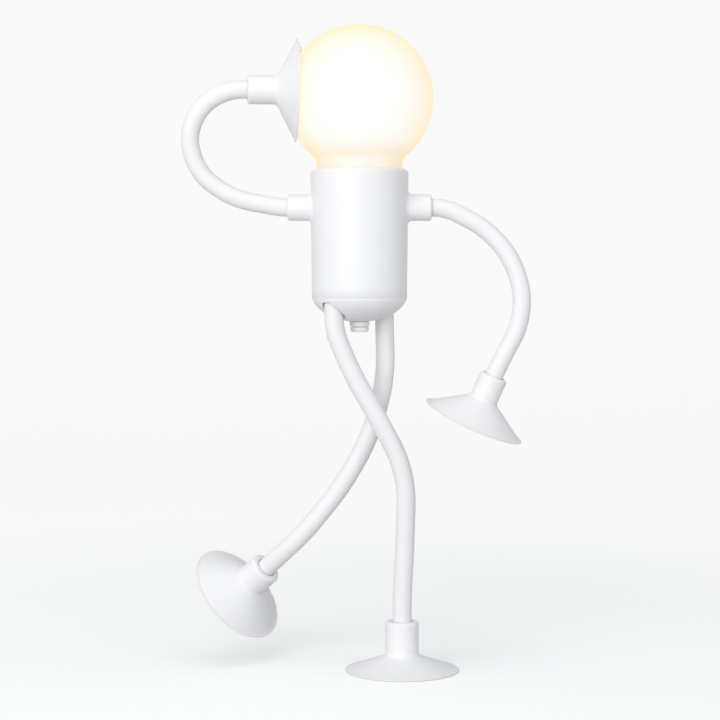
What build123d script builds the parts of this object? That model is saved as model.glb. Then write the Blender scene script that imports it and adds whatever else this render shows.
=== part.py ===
from build123d import *
import math
import os

# A posable figure lamp. A small cordless lantern body carries an opal globe as its head, two
# bendable arms and two bendable legs, and each limb ends in a suction cup. It stands on one
# leg, leans one hand on the globe and holds the other leg and hand clear.
# Millimetres, +Z up. The origin is the middle of the standing foot's rim on the floor. The
# front of the figure looks to -Y.

# Where the body stands
STANCE_X = -27.2          # body axis from the standing foot
STANCE_Y = 10.0
SEAM_HEIGHT = 238.0       # joint line of casing and base cap above the floor

# Casing
CASING_HEIGHT = 82.3
CASING_TOP_R = 31.2
CASING_TAPER = 0.8        # how much narrower its foot is
CASING_BOTTOM_R = CASING_TOP_R - CASING_TAPER
CASING_WALL = 1.6         # at the foot
CASING_BORE_R = CASING_BOTTOM_R - CASING_WALL
LIP_THICKNESS = 3.0
LIP_ROUND = 3.0
LIP_LAND = 0.4            # flat ring between the lip's round edge and its mouth
MOUTH_CLEARANCE = 0.4
SEAM_CHAMFER = 0.25       # on both edges of the joint line

# Shoulders
SHOULDER_DROP = 24.5      # shoulder axis below the casing's top
STUB_R = 8.45
STUB_REACH = 46.0         # stub mouth from the body axis
STUB_FILLET = 2.8
STUB_ROUND = 1.4
STUB_FLOOR = 2.0          # plastic left behind the arm's end

# Base cap
DOME_DEPTH = 15.1
CAP_WALL = 2.4
SPIGOT_HEIGHT = 5.0
SPIGOT_WALL = 2.0
FIT_GAP = 0.3             # clearance of parts that only sit in each other

# Hips
HIP_INSET = 8.3           # hip hole's middle in from the cap's edge
HIP_RADIUS = CASING_BOTTOM_R - HIP_INSET
HIP_TURN = 43.0           # hips turned from the shoulders, in degrees
HIP_GAP = 1.0             # round the leg in its hole
HIP_EDGE = 0.4            # round on the rim of a hip hole
SOCKET_WALL = 1.4
SOCKET_ROOF = 2.5

# Globe
GLOBE_R = 46.9
GLOBE_RISE = 44.7         # globe centre above the casing's top
GLOBE_WALL = 1.6
NECK_R = CASING_TOP_R - LIP_ROUND - LIP_LAND - MOUTH_CLEARANCE
NECK_DEPTH = 9.7          # neck below the casing's top
NECK_FILLET = 5.5

# Globe seat and light module
RETAINER_HEIGHT = 10.0
RETAINER_FLANGE = 2.0
RETAINER_LEDGE = 4.4      # reach of the retainer's foot under the neck
GASKET_HEIGHT = 1.6
GASKET_WIDTH = 1.8
BOARD_THICKNESS = 1.6
BOARD_CLEARANCE = 2.8     # light board's edge to the bore
LED_SIZE = 2.8
LED_HEIGHT = 0.8
LED_COUNT = 12
LED_RING_R = 15.0
HEAT_SINK_THICKNESS = 3.0
WIRE_HOLE_R = 3.0
MODULE_SCREWS = 3
SCREW_INSET = 1.4         # from the board's edge
SCREW_R = 1.1
SCREW_HEAD_R = 1.35
SCREW_HEAD_HEIGHT = 1.2
SCREW_GRIP = 1.2          # how far a screw bites past what it clamps

# Battery, control board, charging port
CELL_R = 9.2
HOLDER_CLEARANCE = 7.6    # holder's top to the heat sink
CELL_ROUND = 0.8
CRADLE_WALL = 1.5
HOLDER_PLATE = 2.0
PLATE_CLEARANCE = 1.25    # holder's plate inside the spigot
CRADLE_FLOOR = 2.0
TAB_THICKNESS = 0.4
TAB_WIDTH = 6.0
CONTROL_WIDTH = 22.0
CONTROL_HEIGHT = 36.0
CONTROL_BOTTOM = 8.0      # lower edge above the seam
CONTROL_INSET = 7.8       # front face in from the bore
BRACKET_WIDTH = 3.0
PORT_LEVEL = 16.0         # above the seam
PORT_WIDTH = 9.0
PORT_HEIGHT = 3.3
PORT_WALL = 0.35
PORT_INSET = 0.3          # port mouth inside the casing's back
TONGUE_THICKNESS = 0.7
CHIP_HEIGHT = 1.0
CHIP_GAP = 2.0            # chips from the board's middle line
LOWER_CHIPS = 3.0         # rows of chips above the port
UPPER_CHIPS = 11.0
CONTROLLER_SIDE = 4.0
DRIVER_SIDE = 5.0
COIL_SIDE = 5.0
CAPACITOR_WIDTH = 2.0
CAPACITOR_LENGTH = 3.0

# Push switch under the body
BEZEL_TOP_R = 6.5
BEZEL_BOTTOM_R = 6.15
BEZEL_DROP = 3.0          # below the dome
BUTTON_R = 6.0
BUTTON_TIP_R = 5.75
BUTTON_DROP = 6.4         # tip below the dome
BUTTON_ROUND = 1.0
BUTTON_TRAVEL = 0.3
BUTTON_GAP = 0.4          # head to bezel, more than the travel
STEM_R = 4.3
STEM_CLEARANCE = 0.3
BEZEL_WALL = 0.8          # round the stem where the bezel passes through the dome
PIN_R = 1.5
PIN_LENGTH = 1.6
SWITCH_SIZE = 8.0
SWITCH_HEIGHT = 4.5
SWITCH_LEVEL = -8.6       # underside, from the seam

# Limbs
ARM_R = 5.8
LEG_R = 6.05
SLEEVE_WALL = 1.3
SEAT_DEPTH = 7.0          # limb inside its shoulder or hip
CORE_R = 2.2
BALL_R = 3.1
BALL_CLEARANCE = 0.3
SEAT_R = 4.0              # outside of a ball seat
SEAT_LENGTH = 5.5
SEAT_MOUTH = 1.4          # seat's rim behind the ball's centre
END_DISC = 1.5
NUT_R = 5.6
NUT_HEIGHT = 3.5
BEND_SHARE = 0.49         # of the shorter run that each bend takes up
MOUTH_GAP = 0.6           # round a limb where it leaves a stub or a cup
MOUTH_DEPTH = 1.2
MOUTH_RUN = 12.0          # a route's last corner before its cup

# Suction cups
CUP_CLEARANCE = 0.15
CUP_SEAT = 11.0           # limb inside its cup
CUP_EDGE = 0.9            # rim thickness
CUP_LIP = 1.7             # nearly flat band outside the cone
CUP_LIP_RISE = 0.25
CUP_HEEL = 0.9            # the underside turns up over this width at the rim
CUP_HEEL_LIFT = 0.35
CUP_SKIN = 1.4            # wall of the cone at its top; it thins out to the lip
CUP_ROOF = 2.1            # from the cone's top down to the flat of the hollow
CUP_MOUTH_ROUND = 2.0
CUP_NECK_ROUND = 2.8
HAND_SLEEVE_R = 9.1
FOOT_SLEEVE_R = 10.65
# A free cup stands high; one that is pressed on something is flatter.
FREE_HAND_R = 33.3
FREE_HAND_CONE = 15.9
FREE_HAND_LENGTH = 32.8
LEANING_HAND_R = 32.8
LEANING_HAND_CONE = 12.6
LEANING_HAND_LENGTH = 31.2
FREE_FOOT_R = 33.9
FREE_FOOT_CONE = 16.2
FREE_FOOT_LENGTH = 31.5
STANDING_FOOT_R = 36.4
STANDING_FOOT_CONE = 9.6
STANDING_FOOT_LENGTH = 31.7
GLOBE_IN_HAND = 7.0       # how far the globe's side reaches into the raised hand
RAISED_LIFT = 4.8         # raised hand above the globe's middle
RAISED_FORWARD = 4.0      # raised hand in front of the globe's middle


def at_body(shape):
    """Moves a shape from the body's own frame, with its zero at the seam, to its place."""
    return Pos(STANCE_X, STANCE_Y, SEAM_HEIGHT) * shape


def turned(section):
    """Turns a section drawn in X and Z round the Z axis."""
    return revolve(section, Axis.Z)


def upright(r, low, high, x=0, y=0):
    """A cylinder about a vertical axis from one level to another."""
    return Pos(x, y, (low + high) / 2) * Cylinder(r, high - low)


def ring(outer, inner, low, high):
    return upright(outer, low, high) - upright(inner, low - 1, high + 1)


def block(x0, x1, y0, y1, z0, z1):
    return Pos((x0 + x1) / 2, (y0 + y1) / 2, (z0 + z1) / 2) * Box(x1 - x0, y1 - y0, z1 - z0)


def save(node, *solids):
    shape = solids[0] if len(solids) == 1 else Compound(children=list(solids))
    export_step(shape, f"parts/{node}.step")


# Levels above the seam, and what fits inside the casing
SHOULDER_LEVEL = CASING_HEIGHT - SHOULDER_DROP
GLOBE_LEVEL = CASING_HEIGHT + GLOBE_RISE
MOUTH_R = NECK_R + MOUTH_CLEARANCE
LIP_LEVEL = CASING_HEIGHT - LIP_THICKNESS
RETAINER_TOP = LIP_LEVEL - FIT_GAP
RETAINER_BOTTOM = RETAINER_TOP - RETAINER_HEIGHT
GASKET_LEVEL = RETAINER_BOTTOM + RETAINER_FLANGE
LED_BOARD_LEVEL = RETAINER_BOTTOM - BOARD_THICKNESS
HEAT_SINK_LEVEL = LED_BOARD_LEVEL - HEAT_SINK_THICKNESS
CELL_LEVEL = HOLDER_PLATE + CRADLE_FLOOR + TAB_THICKNESS
CELL_TOP = HEAT_SINK_LEVEL - HOLDER_CLEARANCE - CRADLE_FLOOR - TAB_THICKNESS
SPIGOT_R = CASING_BORE_R - FIT_GAP / 2
RETAINER_INNER_R = NECK_R - RETAINER_LEDGE
LED_BOARD_R = CASING_BORE_R - BOARD_CLEARANCE
MODULE_SCREW_RING_R = LED_BOARD_R - SCREW_INSET
HOLDER_PLATE_R = SPIGOT_R - SPIGOT_WALL - PLATE_CLEARANCE
CONTROL_Y = CASING_BORE_R - CONTROL_INSET
HIP_LEVEL = -SOCKET_ROOF - FIT_GAP - SEAT_DEPTH
HIP_HOLE_R = LEG_R + HIP_GAP


def hip_place(side):
    """A hip hole's centre on the body's plan: side -1 is the standing leg, +1 the lifted one."""
    turn = math.radians(HIP_TURN)
    return side * HIP_RADIUS * math.cos(turn), side * HIP_RADIUS * math.sin(turn)


# Casing and cap

def casing_section():
    """Half section of the casing: tapered outside, plain bore, lip with a rounded edge."""
    round_start = CASING_HEIGHT - LIP_ROUND
    with BuildSketch(Plane.XZ) as section:
        with BuildLine():
            Polyline((CASING_BORE_R, 0), (CASING_BOTTOM_R - SEAM_CHAMFER, 0),
                     (CASING_BOTTOM_R, SEAM_CHAMFER), (CASING_TOP_R, round_start))
            RadiusArc((CASING_TOP_R, round_start), (CASING_TOP_R - LIP_ROUND, CASING_HEIGHT),
                      -LIP_ROUND)
            Polyline((CASING_TOP_R - LIP_ROUND, CASING_HEIGHT), (MOUTH_R, CASING_HEIGHT),
                     (MOUTH_R, LIP_LEVEL), (CASING_BORE_R, LIP_LEVEL), (CASING_BORE_R, 0))
        make_face()
    return section.sketch


def sideways(shape, side):
    """Lays a shape built along Z on the shoulder axis, pointing outwards."""
    return Pos(0, 0, SHOULDER_LEVEL) * Rot(0, 90 * side, 0) * shape


def body_shell():
    shell = turned(casing_section())
    for side in (-1, 1):
        stub = upright(STUB_R, CASING_BORE_R, STUB_REACH)
        stub = fillet(stub.edges().group_by(Axis.Z)[-1], STUB_ROUND)
        shell += sideways(stub, side) - upright(CASING_BORE_R, 0, CASING_HEIGHT)
    roots = [e for e in shell.edges() if e.geom_type not in (GeomType.LINE, GeomType.CIRCLE)
             and abs(e.center().X) > CASING_BORE_R]
    shell = fillet(roots, STUB_FILLET)
    floor = STUB_REACH - SEAT_DEPTH - FIT_GAP
    for side in (-1, 1):
        shell -= sideways(upright(ARM_R + FIT_GAP, floor, STUB_REACH + 1), side)
        shell -= sideways(upright(ARM_R + MOUTH_GAP, STUB_REACH - MOUTH_DEPTH, STUB_REACH + 1),
                          side)
        shell -= sideways(upright(CORE_R + FIT_GAP, CASING_BORE_R - STUB_FLOOR, floor + 1), side)
    return shell - port_slot()


def dome_section(r, depth):
    """Half section of a dome that hangs from z = 0: steep at the rim, flat at its foot."""
    with BuildSketch(Plane.XZ) as section:
        with BuildLine():
            Bezier((r, 0), (0.94 * r, -0.465 * depth), (0.594 * r, -depth), (0, -depth))
            Polyline((0, -depth), (0, 0), (r, 0))
        make_face()
    return section.sketch


def hip_socket(side):
    """The closed tube behind a hip hole, cut to the spigot's circle."""
    x, y = hip_place(side)
    tube = upright(HIP_HOLE_R + SOCKET_WALL, -DOME_DEPTH, 0, x, y)
    return tube & upright(SPIGOT_R, -DOME_DEPTH, 0)


def round_hip_rim(cap, side):
    """Rounds the edge where a hip hole meets the outside of the dome."""
    x, y = hip_place(side)

    def on_hole(edge):
        return all(abs(math.dist((p.X, p.Y), (x, y)) - HIP_HOLE_R) < 0.01
                   for p in (edge @ 0.2, edge @ 0.6))
    rim = [e for e in cap.edges() if e.geom_type not in (GeomType.LINE, GeomType.CIRCLE)
           and on_hole(e)]
    return fillet(rim, HIP_EDGE)


def base_cap():
    dome = turned(dome_section(CASING_BOTTOM_R, DOME_DEPTH))
    dome = chamfer(dome.edges().group_by(Axis.Z)[-1], SEAM_CHAMFER)
    cap = dome - turned(dome_section(SPIGOT_R - SPIGOT_WALL, DOME_DEPTH - CAP_WALL))
    cap += ring(SPIGOT_R, SPIGOT_R - SPIGOT_WALL, 0, SPIGOT_HEIGHT)
    for side in (-1, 1):
        cap += hip_socket(side) & dome
    for side in (-1, 1):
        x, y = hip_place(side)
        cap -= upright(HIP_HOLE_R, -DOME_DEPTH - 1, -SOCKET_ROOF, x, y)
        cap = round_hip_rim(cap, side)
        cap -= upright(CORE_R + FIT_GAP, -SOCKET_ROOF - 1, 1, x, y)
        cap -= upright(NUT_R + FIT_GAP, 0, SPIGOT_HEIGHT + 1, x, y)
    return cap - upright(collar_r() + FIT_GAP, -DOME_DEPTH - 1, 0)


# Globe and what seats it

def opal_globe():
    """The globe with its neck, one hollow moulding open below."""
    neck_foot = CASING_HEIGHT - NECK_DEPTH
    solid = Pos(0, 0, GLOBE_LEVEL) * Sphere(GLOBE_R) + upright(NECK_R, neck_foot, GLOBE_LEVEL)
    joint = [e for e in solid.edges() if abs(e.center().Z - neck_foot) > 1
             and e.geom_type == GeomType.CIRCLE]
    solid = fillet(joint, NECK_FILLET)
    hollow = Pos(0, 0, GLOBE_LEVEL) * Sphere(GLOBE_R - GLOBE_WALL)
    return solid - hollow - upright(NECK_R - GLOBE_WALL, neck_foot - 1, GLOBE_LEVEL)


def globe_retainer():
    outer = CASING_BORE_R - FIT_GAP
    body = ring(outer, NECK_R + FIT_GAP, RETAINER_BOTTOM, RETAINER_TOP)
    body += ring(outer, RETAINER_INNER_R, RETAINER_BOTTOM, GASKET_LEVEL)
    for x, y in module_screw_places():
        body -= upright(SCREW_R, RETAINER_BOTTOM - 1, RETAINER_BOTTOM + SCREW_GRIP, x, y)
    return body


def globe_gasket():
    outer = NECK_R
    return ring(outer, outer - GASKET_WIDTH, GASKET_LEVEL, GASKET_LEVEL + GASKET_HEIGHT)


def module_screw_places():
    return [(p.X, p.Y) for p in (Vector(MODULE_SCREW_RING_R, 0).rotate(Axis.Z, 30 + 360 * i
            / MODULE_SCREWS) for i in range(MODULE_SCREWS))]


def drilled(plate, low, high):
    for x, y in module_screw_places():
        plate -= upright(SCREW_R, low - 1, high + 1, x, y)
    return plate - upright(WIRE_HOLE_R, low - 1, high + 1)


def led_board():
    top = LED_BOARD_LEVEL + BOARD_THICKNESS
    return drilled(upright(LED_BOARD_R, LED_BOARD_LEVEL, top), LED_BOARD_LEVEL, top)


def led_chips():
    top = LED_BOARD_LEVEL + BOARD_THICKNESS
    chip = Pos(LED_RING_R, 0, top + LED_HEIGHT / 2) * Box(LED_SIZE, LED_SIZE, LED_HEIGHT)
    return [Rot(0, 0, 360 * i / LED_COUNT) * chip for i in range(LED_COUNT)]


def heat_sink():
    plate = upright(LED_BOARD_R, HEAT_SINK_LEVEL, LED_BOARD_LEVEL)
    return drilled(plate, HEAT_SINK_LEVEL, LED_BOARD_LEVEL)


def module_screws():
    """Screws from below through sink and board into the retainer."""
    return [upright(SCREW_HEAD_R, HEAT_SINK_LEVEL - SCREW_HEAD_HEIGHT, HEAT_SINK_LEVEL, x, y)
            + upright(SCREW_R, HEAT_SINK_LEVEL, RETAINER_BOTTOM + SCREW_GRIP, x, y)
            for x, y in module_screw_places()]


# Battery and electronics

def battery_cell():
    cell = upright(CELL_R, CELL_LEVEL, CELL_TOP)
    return fillet(cell.edges().filter_by(GeomType.CIRCLE), CELL_ROUND)


def battery_holder():
    """Plate on the hip sockets with a half cradle for the cell and two board brackets."""
    top = CELL_TOP + TAB_THICKNESS + CRADLE_FLOOR
    inner, outer = CELL_R + FIT_GAP / 2, CELL_R + CRADLE_WALL
    plate = upright(HOLDER_PLATE_R, 0, HOLDER_PLATE)
    cradle = upright(outer, HOLDER_PLATE, top)
    cradle -= upright(inner, HOLDER_PLATE + CRADLE_FLOOR, top - CRADLE_FLOOR)
    cradle -= block(-outer, outer, -outer, -1, HOLDER_PLATE + CRADLE_FLOOR, top - CRADLE_FLOOR)
    body = plate + cradle
    for side in (-1, 1):
        x = side * (CONTROL_WIDTH / 2 - BRACKET_WIDTH / 2)
        arm = block(x - BRACKET_WIDTH / 2, x + BRACKET_WIDTH / 2, 0, CONTROL_Y,
                    CONTROL_BOTTOM + CONTROL_HEIGHT / 2, CONTROL_BOTTOM + CONTROL_HEIGHT)
        body += arm - upright(inner, 0, top)
    for side in (-1, 1):
        x, y = hip_place(side)
        body -= upright(CORE_R + FIT_GAP, -1, HOLDER_PLATE + 1, x, y)
    return body - upright(collar_r(), -1, HOLDER_PLATE + 0.01)


def battery_tabs():
    """Nickel tabs at the two ends of the cell."""
    low = upright(TAB_WIDTH / 2, CELL_LEVEL - TAB_THICKNESS, CELL_LEVEL)
    return [low, upright(TAB_WIDTH / 2, CELL_TOP, CELL_TOP + TAB_THICKNESS)]


def control_board():
    half = CONTROL_WIDTH / 2
    return block(-half, half, CONTROL_Y, CONTROL_Y + BOARD_THICKNESS,
                 CONTROL_BOTTOM, CONTROL_BOTTOM + CONTROL_HEIGHT)


def chip(x, row, width, length, height=CHIP_HEIGHT):
    """One chip on the board's back: left edge, row above the port, and its size."""
    face, low = CONTROL_Y + BOARD_THICKNESS, PORT_LEVEL + PORT_HEIGHT + row
    return block(x, x + width, face, face + height, low, low + length)


def board_chips():
    """Charge controller, light driver, coil and two capacitors."""
    capacitors = [chip(CHIP_GAP / 2 + 2 * i * CAPACITOR_WIDTH, UPPER_CHIPS, CAPACITOR_WIDTH,
                       CAPACITOR_LENGTH) for i in range(2)]
    return [chip(-CHIP_GAP - CONTROLLER_SIDE, LOWER_CHIPS, CONTROLLER_SIDE, CONTROLLER_SIDE),
            chip(CHIP_GAP, LOWER_CHIPS, DRIVER_SIDE, DRIVER_SIDE),
            chip(-CHIP_GAP - COIL_SIDE, UPPER_CHIPS, COIL_SIDE, COIL_SIDE, 2 * CHIP_HEIGHT),
            *capacitors]


def flat_tube(width, height, y0, y1):
    """A bar of rounded slot section along Y at the port's level."""
    slot = Plane.XZ.offset(-y1) * SlotOverall(width, height)
    return Pos(0, 0, PORT_LEVEL) * extrude(slot, y1 - y0)


def back_at_port():
    """The casing's outside radius at the port."""
    return CASING_BOTTOM_R + (CASING_TOP_R - CASING_BOTTOM_R) * PORT_LEVEL / CASING_HEIGHT


def port_slot():
    return flat_tube(PORT_WIDTH + 2 * FIT_GAP, PORT_HEIGHT + 2 * FIT_GAP,
                     CASING_BORE_R - 3, CASING_TOP_R + 1)


def charging_port():
    """Metal sleeve with its tongue, on the control board, open through the casing's back."""
    face, mouth = CONTROL_Y + BOARD_THICKNESS, back_at_port() - PORT_INSET
    inside = PORT_WIDTH - 2 * PORT_WALL, PORT_HEIGHT - 2 * PORT_WALL
    shell = flat_tube(PORT_WIDTH, PORT_HEIGHT, face, mouth)
    shell -= flat_tube(*inside, face + 1, mouth + 1)
    tongue = block(-inside[0] / 2 + 1, inside[0] / 2 - 1, face + 0.5, mouth - 1,
                   PORT_LEVEL - TONGUE_THICKNESS / 2, PORT_LEVEL + TONGUE_THICKNESS / 2)
    return shell + tongue


# Push switch

def collar_r():
    """Outside of the bezel's collar in the dome."""
    return STEM_R + STEM_CLEARANCE + BEZEL_WALL


def switch_bezel():
    top, foot = -DOME_DEPTH, -DOME_DEPTH - BEZEL_DROP
    with BuildSketch(Plane.XZ) as section:
        with BuildLine():
            Polyline((STEM_R + STEM_CLEARANCE, foot), (BEZEL_BOTTOM_R, foot), (BEZEL_TOP_R, top),
                     (collar_r(), top), (collar_r(), top + CAP_WALL + 1),
                     (STEM_R + STEM_CLEARANCE, top + CAP_WALL + 1),
                     (STEM_R + STEM_CLEARANCE, foot))
        make_face()
    dome = turned(dome_section(CASING_BOTTOM_R, DOME_DEPTH))
    return turned(section.sketch) - (dome - upright(collar_r() + FIT_GAP, -DOME_DEPTH - 1, 0))


def power_button():
    foot = -DOME_DEPTH - BUTTON_DROP
    head_top = -DOME_DEPTH - BEZEL_DROP - BUTTON_GAP
    stem_top = SWITCH_LEVEL - 1
    head = Pos(0, 0, (foot + head_top) / 2) * Cone(BUTTON_TIP_R, BUTTON_R, head_top - foot)
    head = fillet(head.edges().group_by(Axis.Z)[0], BUTTON_ROUND)
    return head + upright(STEM_R, head_top, stem_top) + upright(PIN_R, stem_top,
                                                               stem_top + PIN_LENGTH)


def switch_body():
    """Short-travel switch hung under the holder's plate; it takes the button's pin."""
    half = SWITCH_SIZE / 2
    body = block(-half, half, -half, half, SWITCH_LEVEL, SWITCH_LEVEL + SWITCH_HEIGHT)
    hanger = upright(half - 0.5, SWITCH_LEVEL + SWITCH_HEIGHT, HOLDER_PLATE)
    depth = PIN_LENGTH - 1 + BUTTON_TRAVEL + FIT_GAP
    return body + hanger - upright(PIN_R + FIT_GAP, SWITCH_LEVEL - 1, SWITCH_LEVEL + depth)


# Limbs

class Limb:
    """One bendable limb: its route, the places where it is jointed, and its tube."""

    def __init__(self, name, corners, joints, tube_r):
        self.name = name
        self.tube_r = tube_r
        start, first = Vector(*corners[0]), Vector(*corners[1])
        back = start - (first - start).normalized() * SEAT_DEPTH
        points = [back] + [Vector(*c) for c in corners[1:]]
        end, before = points[-1], points[-2]
        points[-1] = end + (end - before).normalized() * (CUP_SEAT - FIT_GAP)
        self.route = FilletPolyline(*points, radius=bend_radii(points))
        self.joints = [SEAT_DEPTH + s for s in joints]

    def point(self, s):
        return self.route.position_at(s, position_mode=PositionMode.LENGTH)

    def heading(self, s):
        return self.route.tangent_at(s, position_mode=PositionMode.LENGTH)

    def plane(self, s):
        return Plane(origin=self.point(s), z_dir=self.heading(s))

    def stretch(self, a, b):
        length = self.route.length
        if a <= 0 and b >= length:
            return self.route
        return self.route.trim(max(a, 0) / length, min(b, length) / length)

    def swept(self, section, a, b):
        path = self.stretch(a, b)
        return sweep(Plane(origin=path @ 0, z_dir=path % 0) * section, path=path)

    def splits(self):
        """Where one sleeve piece ends and the next begins: midway between joints."""
        middles = [(a + b) / 2 for a, b in zip(self.joints, self.joints[1:])]
        return [0] + middles + [self.route.length]

    def sleeves(self):
        tube = Circle(self.tube_r) - Circle(self.tube_r - SLEEVE_WALL)
        cuts = self.splits()
        return [self.swept(tube, a, b) for a, b in zip(cuts, cuts[1:])]

    def seat(self, s):
        """The cup behind a joint that the next link's ball turns in."""
        cup = upright(SEAT_R, -SEAT_LENGTH, -SEAT_MOUTH) - Sphere(BALL_R + BALL_CLEARANCE)
        return self.plane(s) * cup

    def link(self, i):
        """Core from joint i to the next joint, or to the limb's end."""
        start = self.joints[i]
        last = i == len(self.joints) - 1
        end = self.route.length - END_DISC if last else self.joints[i + 1] - SEAT_LENGTH
        body = self.plane(start) * Sphere(BALL_R) + self.swept(Circle(CORE_R), start, end)
        if last:
            return body + self.plane(end) * upright(SEAT_R, 0, END_DISC)
        return body + self.seat(self.joints[i + 1])

    def anchor(self, nut_from, tail):
        """Fixed root of the core: nut inside the body, rod, and the first seat."""
        inward = self.route.position_at(0) - self.heading(0) * tail
        rod = Plane(origin=inward, z_dir=self.heading(0)) * upright(
            CORE_R, 0, tail + self.joints[0] - SEAT_LENGTH)
        nut = Plane(origin=self.route.position_at(0), z_dir=self.heading(0)) * upright(
            NUT_R, -nut_from - NUT_HEIGHT, -nut_from)
        return rod + nut + self.seat(self.joints[0])


def bend_radii(points):
    """As large a radius at each corner as the runs beside it leave room for."""
    radii = []
    for a, b, c in zip(points, points[1:], points[2:]):
        into, out = a - b, c - b
        turn = math.radians(180 - into.get_angle(out))
        radii.append(BEND_SHARE * min(into.length, out.length) / math.tan(turn / 2))
    return radii


def suction_cup(rim_r, cone, length, sleeve_r, tube_r):
    """A cup with its rim at z = 0 and its sleeve up: cone, hollow underside, blind bore."""
    band_r, band_z = rim_r - CUP_LIP, CUP_EDGE + CUP_LIP_RISE
    slope = (cone - band_z) / (band_r - sleeve_r)
    roof = cone - CUP_ROOF
    roof_r = sleeve_r + CUP_ROOF / slope - CUP_SKIN * math.hypot(1, 1 / slope)
    with BuildSketch(Plane.XZ) as section:
        with BuildLine():
            Polyline((band_r, 0), (rim_r - CUP_HEEL, 0), (rim_r, CUP_HEEL_LIFT),
                     (rim_r, CUP_EDGE), (band_r, band_z), (sleeve_r, cone), (sleeve_r, length),
                     (0, length), (0, roof), (roof_r, roof), close=True)
        make_face()
    cup = turned(section.sketch)
    neck = [e for e in cup.edges().filter_by(GeomType.CIRCLE).sort_by(Axis.Z)
            if abs(e.radius - sleeve_r) < CUP_CLEARANCE][0]
    cup = fillet(neck, CUP_NECK_ROUND)
    mouth = cup.edges().filter_by(GeomType.CIRCLE).group_by(Axis.Z)[-1]
    cup = fillet(mouth, CUP_MOUTH_ROUND)
    cup -= upright(tube_r + MOUTH_GAP, length - MOUTH_DEPTH, length + 1)
    return cup - upright(tube_r + CUP_CLEARANCE, length - CUP_SEAT - CUP_CLEARANCE, length + 1)


def cup_plane(limb, length):
    """A cup's rim plane on a limb's end, with its sleeve pointing back along the limb."""
    end = limb.route.length
    out = limb.heading(end)
    mouth = limb.point(end) - out * (CUP_SEAT - FIT_GAP)
    return Plane(origin=mouth + out * length, z_dir=-out)


def moved(base, *offset):
    return tuple(b + o for b, o in zip(base, offset))


def along(base, direction, distance):
    d = Vector(*direction).normalized() * distance
    return moved(base, d.X, d.Y, d.Z)


# Routes of the limbs: corners from the body to the mouth of the cup's sleeve. The first
# corners are measured from the shoulder or hip, the last ones from the hand or foot.
shoulder_height = SEAM_HEIGHT + SHOULDER_LEVEL
left_shoulder = (STANCE_X - STUB_REACH, STANCE_Y, shoulder_height)
right_shoulder = (STANCE_X + STUB_REACH, STANCE_Y, shoulder_height)

raised_axis = (1, 0.095, -0.01)
raised_rim = (STANCE_X - GLOBE_R + GLOBE_IN_HAND, STANCE_Y - RAISED_FORWARD,
              SEAM_HEIGHT + GLOBE_LEVEL + RAISED_LIFT)
raised_mouth = along(raised_rim, raised_axis, -LEANING_HAND_LENGTH)
raised_arm = Limb("raised_arm", [
    left_shoulder, moved(left_shoulder, -4, 0, 0), moved(left_shoulder, -35, 0, 5.7),
    moved(left_shoulder, -56.7, -1, 21.4), moved(left_shoulder, -63.5, -4, 44.6),
    moved(raised_mouth, -29.9, 0, -10.2), along(raised_mouth, raised_axis, -MOUTH_RUN), raised_mouth,
], joints=(13, 36, 58), tube_r=ARM_R)

lowered_axis = (-0.398, 0.108, -0.911)
lowered_mouth = moved(right_shoulder, 39.8, -7.5, -107)
lowered_arm = Limb("lowered_arm", [
    right_shoulder, moved(right_shoulder, 9, 0, 0), moved(right_shoulder, 34.6, -1, -13),
    moved(right_shoulder, 51, -3, -31.8), moved(right_shoulder, 58.2, -6, -54.7),
    moved(lowered_mouth, 15.9, -0.7, 31), along(lowered_mouth, lowered_axis, -MOUTH_RUN), lowered_mouth,
], joints=(16, 50, 84, 118), tube_r=ARM_R)

standing_hip = (STANCE_X + hip_place(-1)[0], STANCE_Y + hip_place(-1)[1],
                SEAM_HEIGHT + HIP_LEVEL)
standing_mouth = (0, 0, STANDING_FOOT_LENGTH)
standing_leg = Limb("standing_leg", [
    standing_hip, moved(standing_hip, 0, 0, -9.8), moved(standing_hip, 10.8, 0, -36.6),
    moved(standing_hip, 25.7, 0, -62.1), moved(standing_mouth, 3, -3.6, 95.8),
    moved(standing_mouth, 1.9, -1.2, 52), moved(standing_mouth, 0, 0, MOUTH_RUN), standing_mouth,
], joints=(16, 70, 124, 176), tube_r=LEG_R)

lifted_axis = (-0.650, 0.432, -0.632)
lifted_hip = (STANCE_X + hip_place(1)[0], STANCE_Y + hip_place(1)[1],
              SEAM_HEIGHT + HIP_LEVEL)
lifted_mouth = (-87.7, 22.3, 62.7)
lifted_leg = Limb("lifted_leg", [
    lifted_hip, moved(lifted_hip, 0, 0, -8.3), moved(lifted_hip, 1, -1.4, -40.6),
    moved(lifted_hip, -8.2, -5.5, -77.6), moved(lifted_mouth, 50.1, -7.8, 54.7),
    moved(lifted_mouth, 25.1, -9.7, 24.3), along(lifted_mouth, lifted_axis, -MOUTH_RUN), lifted_mouth,
], joints=(16, 65, 115, 165), tube_r=LEG_R)

LIMBS = [raised_arm, lowered_arm, standing_leg, lifted_leg]


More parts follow.
